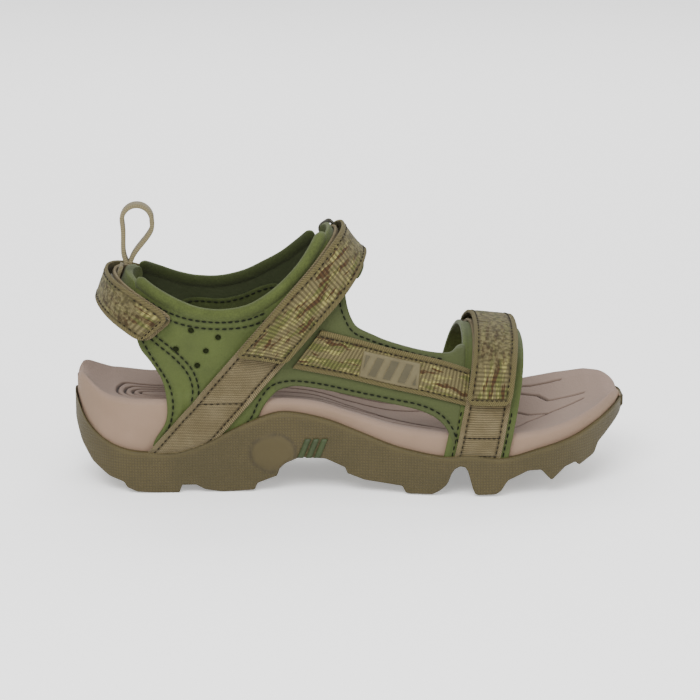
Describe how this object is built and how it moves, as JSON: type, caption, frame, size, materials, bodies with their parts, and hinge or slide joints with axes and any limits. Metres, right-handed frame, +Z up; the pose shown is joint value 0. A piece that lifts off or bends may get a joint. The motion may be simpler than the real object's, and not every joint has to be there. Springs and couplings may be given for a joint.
{
  "type": "strappy sport sandal",
  "caption": "Right-foot sport sandal with a lugged rubber sole, foam footbed, soft side shell and three adjustable hook-and-loop straps that fold back through side rings.",
  "frame": {"origin": "middle of the sole's footprint, on the surface the sandal stands on", "axes": "+X from heel to toe, -Y to the outer side of the right foot, +Z up"},
  "size_m": [0.24, 0.0934, 0.123],
  "materials": {
    "outsole": "moulded olive rubber with a fine grid on its side walls",
    "foam": "taupe EVA foam, smooth side walls and a fine grain on top",
    "shank": "glass-filled nylon, hidden",
    "shock_pad": "soft rubber-like foam, hidden",
    "emblem": "green rubber inlay",
    "shell": "olive green laminated synthetic with a smooth face",
    "padding": "olive green foam-backed stretch textile",
    "webbing": "khaki ribbed polyester webbing",
    "patterned_webbing": "khaki ribbed webbing with a woven green, tan and brown pattern",
    "badge": "soft rubber badge, tone on tone",
    "ring": "dark moulded nylon",
    "loop_pile": "loop pile",
    "hooks": "moulded hooks",
    "ribbon": "narrow woven ribbon"
  },
  "bodies": {
    "root": {"outsole": "outsole", "midsole": "foam", "footbed": "foam", "shank": "shank", "heel_shock_pad": "shock_pad", "sole_emblem": "emblem", "lateral_quarter": "shell", "medial_quarter": "shell", "collar_roll_lateral": "padding", "collar_roll_medial": "padding", "toe_pad": "shell", "instep_pad": "shell", "heel_pad": "padding", "ankle_strap_lateral": "webbing", "toe_strap_lateral": "webbing", "heel_strap_lateral": "webbing", "ankle_strap_medial": "webbing", "toe_strap_medial": "webbing", "heel_strap_medial": "webbing", "instep_strap_lateral": "patterned_webbing", "instep_strap_medial": "patterned_webbing", "instep_badge": "badge", "ankle_ring": "ring", "ankle_ring_keeper": "webbing", "ankle_loop_patch": "loop_pile", "toe_ring": "ring", "toe_ring_keeper": "webbing", "toe_loop_patch": "loop_pile", "heel_ring": "ring", "heel_ring_keeper": "webbing", "heel_loop_patch": "loop_pile", "pull_loop_tongue": "ribbon"},
    "ankle_flap": {"ankle_flap": "patterned_webbing"},
    "ankle_tab": {"ankle_tab": "patterned_webbing", "ankle_hook_patch": "hooks"},
    "toe_flap": {"toe_flap": "patterned_webbing"},
    "toe_tab": {"toe_tab": "patterned_webbing", "toe_hook_patch": "hooks"},
    "heel_flap": {"heel_flap": "patterned_webbing"},
    "heel_tab": {"heel_tab": "patterned_webbing", "heel_hook_patch": "hooks"},
    "pull_loop": {"pull_loop": "ribbon"}
  },
  "joints": [
    {"name": "ankle_flap_open", "type": "hinge", "parent": "root", "child": "ankle_flap", "pos_m": [-0.00092, 0.0108, 0.10157], "axis": [-0.6077, -0.0386, 0.7932], "range_deg": [0, 110]},
    {"name": "ankle_tab_peel", "type": "hinge", "parent": "ankle_flap", "child": "ankle_tab", "pos_m": [-0.02587, -0.03494, 0.075], "axis": [-0.8614, 0.0299, 0.507], "range_deg": [0, 70]},
    {"name": "toe_flap_open", "type": "hinge", "parent": "root", "child": "toe_flap", "pos_m": [0.06163, 0.02933, 0.05915], "axis": [-0.9955, -0.0501, 0.0803], "range_deg": [0, 110]},
    {"name": "toe_tab_peel", "type": "hinge", "parent": "toe_flap", "child": "toe_tab", "pos_m": [0.0615, -0.03488, 0.05877], "axis": [-0.9976, -0.0005, 0.0691], "range_deg": [0, 70]},
    {"name": "heel_flap_open", "type": "hinge", "parent": "root", "child": "heel_flap", "pos_m": [-0.0911, 0.02996, 0.07777], "axis": [-0.6189, -0.0234, -0.7851], "range_deg": [0, 95]},
    {"name": "heel_tab_peel", "type": "hinge", "parent": "heel_flap", "child": "heel_tab", "pos_m": [-0.09912, -0.02725, 0.08224], "axis": [-0.4969, 0.0573, -0.8659], "range_deg": [0, 70]},
    {"name": "pull_loop_bend", "type": "hinge", "parent": "root", "child": "pull_loop", "pos_m": [-0.0982, 0, 0.0962], "axis": [0, 1, 0], "range_deg": [-35, 35], "stiffness_Nm_per_rad": 0.004}
  ]
}
